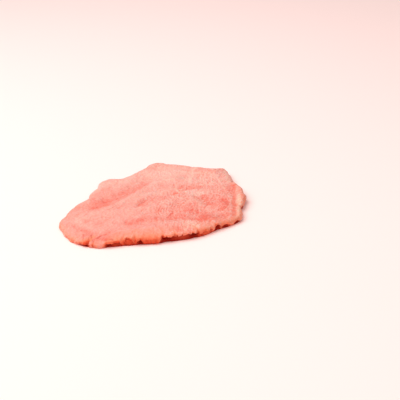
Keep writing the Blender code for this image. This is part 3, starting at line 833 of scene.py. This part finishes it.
def meat_redness_and_shading(x, y):
    """How red the meat is, with painted shade in its hollows and painted light on its ridges. Below
    0 it is paler than its own pink.
    """
    red = ruffles(x, y, RED_CLOUDS)
    for amount, width, line in REDNESS_AND_SHADING.values():
        red = red + amount * bump(distance_to_line(x, y, line), width)
    angle = angle_of(x, y)
    inset = reach(angle) - np.hypot(x, y)
    return red - bump(inset - LIT_LIP_BAND[0], LIT_LIP_BAND[1]) * bumps_round(LIT_LIPS, angle)


def meat_fat(x, y, coarse):
    """How much cream fat and sinew shows, from 0 to 1."""
    fat = np.zeros(len(x))
    ragged = 1.0 + ruffles(x, y, [FAT_RAGGEDNESS])
    for amount, width, line in FAT.values():
        fat = np.maximum(fat, amount * bump(distance_to_line(x, y, line), width) * ragged)
    veins = bump(ruffle(x, y, *VEINS), VEIN_WIDTH)
    veins = veins * np.clip(ruffle(x, y, *VEIN_PLACES) + VEIN_SHARE, 0.0, 1.0)
    amount, width, line = FAT_GAP
    gap = amount * bump(distance_to_line(x, y, line), width)
    return np.maximum(fat, VEIN_FAT * coarse * veins) * (1.0 - gap)


def pale_strands(x, y):
    """Strands near the front lip: 1 on them, about -0.5 between them and 0 elsewhere."""
    place = bump(distance_to_line(x, y, STRAND_LINE), STRAND_REACH)
    return place * crests(grain(x, y, *STRANDS))


def colour_values(points, warm_shade, cave, upper):
    """How red, how fatty, and how much painted warm and dark shade the meat has at each point."""
    x, y = points[:, 0], points[:, 1]
    pattern, _ = fibre_pattern(x, y)
    coarse = coarse_share(x, y)
    crease = creases(x, y)
    strands = STRAND_SHARE * pale_strands(x, y)
    red = meat_redness_and_shading(x, y) - blend(*FIBRE_PALENESS, coarse) * pattern
    red = red + CREASE_REDNESS * crease - strands
    fat = np.clip(np.maximum(meat_fat(x, y, coarse), strands), 0.0, 1.0)
    return {
        "redness_and_shading": red * upper,
        "fat": fat * upper,
        "warm_shade": warm_shade * (1.0 - FIBRE_COOLNESS * upper * pattern),
        "cave": np.maximum(cave, CREASE_SHADE * crease * upper),
    }


def slice_piece():
    """The whole slice as one closed mesh, and the middle that it is centred on."""
    points, triangles, values = slice_arrays()
    values = colour_values(points, **values)
    middle = (points.max(0) + points.min(0)) / 2.0
    middle[2] = 0.0
    data = bpy.data.meshes.new("schnitzel_meat")
    data.from_pydata(((points - middle) * METRES_PER_MM).tolist(), [], triangles.tolist())
    for name, value in values.items():
        made = data.attributes.new(name, "FLOAT", "POINT")
        made.data.foreach_set("value", value.astype(np.float32))
    data.shade_smooth()
    return add_object("schnitzel_meat", data), Vector(middle)


# ---- materials ----
def new_node(tree, kind, **settings):
    """A new node with these settings."""
    made = tree.nodes.new(kind)
    for name, value in settings.items():
        setattr(made, name, value)
    return made


def set_inputs(node, values):
    """Gives the node's own inputs these values."""
    for name, value in values.items():
        node.inputs[name].default_value = value


def feed(tree, value, socket):
    """Gives a socket a plain value, or links another node's output to it."""
    if isinstance(value, (float, tuple)):
        socket.default_value = value
    else:
        tree.links.new(value, socket)


def attribute(tree, name):
    """The mesh's value of this name."""
    return new_node(tree, "ShaderNodeAttribute", attribute_name=name).outputs["Fac"]


def arithmetic(tree, operation, *values, clamp=False):
    """The result of a sum or another operation on these values."""
    made = new_node(tree, "ShaderNodeMath", operation=operation, use_clamp=clamp)
    for socket, value in zip(made.inputs, values):
        feed(tree, value, socket)
    return made.outputs[0]


def mix_colour(tree, share, first, second):
    """The colour this share of the way from the first to the second."""
    made = new_node(tree, "ShaderNodeMix", data_type="RGBA")
    sockets = {socket.identifier: socket for socket in made.inputs}
    for key, value in (("Factor_Float", share), ("A_Color", first), ("B_Color", second)):
        feed(tree, value, sockets[key])
    return next(socket for socket in made.outputs if socket.identifier == "Result_Color")


def rise_between(tree, value, start, end):
    """0 before start and 1 after end, with a smooth rise between them."""
    made = new_node(tree, "ShaderNodeMapRange", interpolation_type="SMOOTHSTEP")
    set_inputs(made, {"From Min": start, "From Max": end})
    tree.links.new(value, made.inputs["Value"])
    return made.outputs["Result"]


def noise_texture(tree, place, settings):
    """Fine noise from 0 to 1 all through the meat."""
    made = new_node(tree, "ShaderNodeTexNoise")
    set_inputs(made, settings)
    tree.links.new(place, made.inputs["Vector"])
    return made.outputs["Fac"]


def meat_material():
    """Moist raw pork: pink with redder hollows, partly painted shade, paler ridges, partly painted
    light, and a deep red wall under the lip in painted shade.
    """
    material = bpy.data.materials.new("raw_pork")
    material.use_nodes = True
    tree = material.node_tree
    shader = tree.nodes["Principled BSDF"]
    place = new_node(tree, "ShaderNodeTexCoord").outputs["Object"]

    mottle = noise_texture(tree, place, MOTTLE)
    mottle = arithmetic(tree, "MULTIPLY_ADD", mottle, MOTTLE_REDNESS, -0.5 * MOTTLE_REDNESS)
    # Redder and paler, from the meat's own patches and from painted shade and light.
    red = arithmetic(tree, "ADD", attribute(tree, "redness_and_shading"), mottle)
    redder = arithmetic(tree, "MAXIMUM", red, 0.0, clamp=True)
    paler = arithmetic(tree, "MULTIPLY", red, -1.0, clamp=True)
    colour = mix_colour(tree, redder, MEAT_PINK, MEAT_RED_AND_SHADED)
    colour = mix_colour(tree, paler, colour, MEAT_PALE_AND_LIT)
    colour = mix_colour(tree, attribute(tree, "fat"), colour, FAT_CREAM)
    # Painted shade, warm like light through the meat, towards the rim's foot.
    warm_shade = attribute(tree, "warm_shade")
    for start, end, warm_shade_colour in WARM_SHADE_COLOURS:
        colour = mix_colour(tree, rise_between(tree, warm_shade, start, end), colour, warm_shade_colour)
    # Painted shade: the gaps under the lip and the foot turn deep red.
    colour = mix_colour(tree, attribute(tree, "cave"), colour, SHADE_RED)
    tree.links.new(colour, shader.inputs["Base Color"])
    set_inputs(shader, MEAT_FINISH)

    relief = new_node(tree, "ShaderNodeBump")
    set_inputs(relief, PORE_RELIEF)
    tree.links.new(noise_texture(tree, place, PORES), relief.inputs["Height"])
    tree.links.new(relief.outputs["Normal"], shader.inputs["Normal"])
    return material


# ---- surroundings ----
def add_object(name, data):
    """A new object in the scene."""
    made = bpy.data.objects.new(name, data)
    bpy.context.scene.collection.objects.link(made)
    return made


def point_at(thing, spot, aim, roll=0.0):
    """Puts a camera or a light at a spot and turns it to its aim."""
    thing.location = spot
    thing.rotation_mode = "QUATERNION"
    turn = Quaternion((0.0, 0.0, 1.0), math.radians(roll))
    thing.rotation_quaternion = (aim - spot).to_track_quat("-Z", "Y") @ turn


def add_camera(middle):
    """The camera, which looks down on the slice from its near left."""
    data = bpy.data.cameras.new("camera")
    data.lens = CAMERA_LENS
    data.sensor_width = CAMERA_SENSOR
    data.clip_start = CAMERA_NEAR
    camera = add_object("camera", data)
    spot = (Vector(CAMERA_SPOT) - middle) * METRES_PER_MM
    aim = (Vector(CAMERA_AIM) - middle) * METRES_PER_MM
    point_at(camera, spot, aim, CAMERA_ROLL)
    bpy.context.scene.camera = camera


def add_floor():
    """A plain pale floor that the slice rests on."""
    half = FLOOR_HALF
    corners = [(-half, -half, 0.0), (half, -half, 0.0), (half, half, 0.0), (-half, half, 0.0)]
    data = bpy.data.meshes.new("floor")
    data.from_pydata(corners, [], [(0, 1, 2, 3)])
    floor = add_object("floor", data)
    material = bpy.data.materials.new("pale_floor")
    material.use_nodes = True
    set_inputs(material.node_tree.nodes["Principled BSDF"], FLOOR_FINISH)
    data.materials.append(material)


def add_lights():
    """Two soft lights that shine on the slice, and an even white light all round."""
    for name, (spot, size, power) in LIGHTS.items():
        data = bpy.data.lights.new(name, "AREA")
        data.shape = "DISK"
        data.size = size
        data.energy = power
        point_at(add_object(name, data), Vector(spot), Vector((0.0, 0.0, 0.0)))
    world = bpy.data.worlds.new("world")
    world.use_nodes = True
    set_inputs(world.node_tree.nodes["Background"], WORLD_LIGHT)
    bpy.context.scene.world = world
    bpy.context.scene.view_settings.view_transform = "Standard"
    bpy.context.scene.view_settings.look = "None"


def main():
    """Makes the slice, the camera, the floor and the lights."""
    meat, middle = slice_piece()
    add_camera(middle)
    meat.data.materials.append(meat_material())
    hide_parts(NODE)
    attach(meat, "root")
    add_floor()
    add_lights()


main()
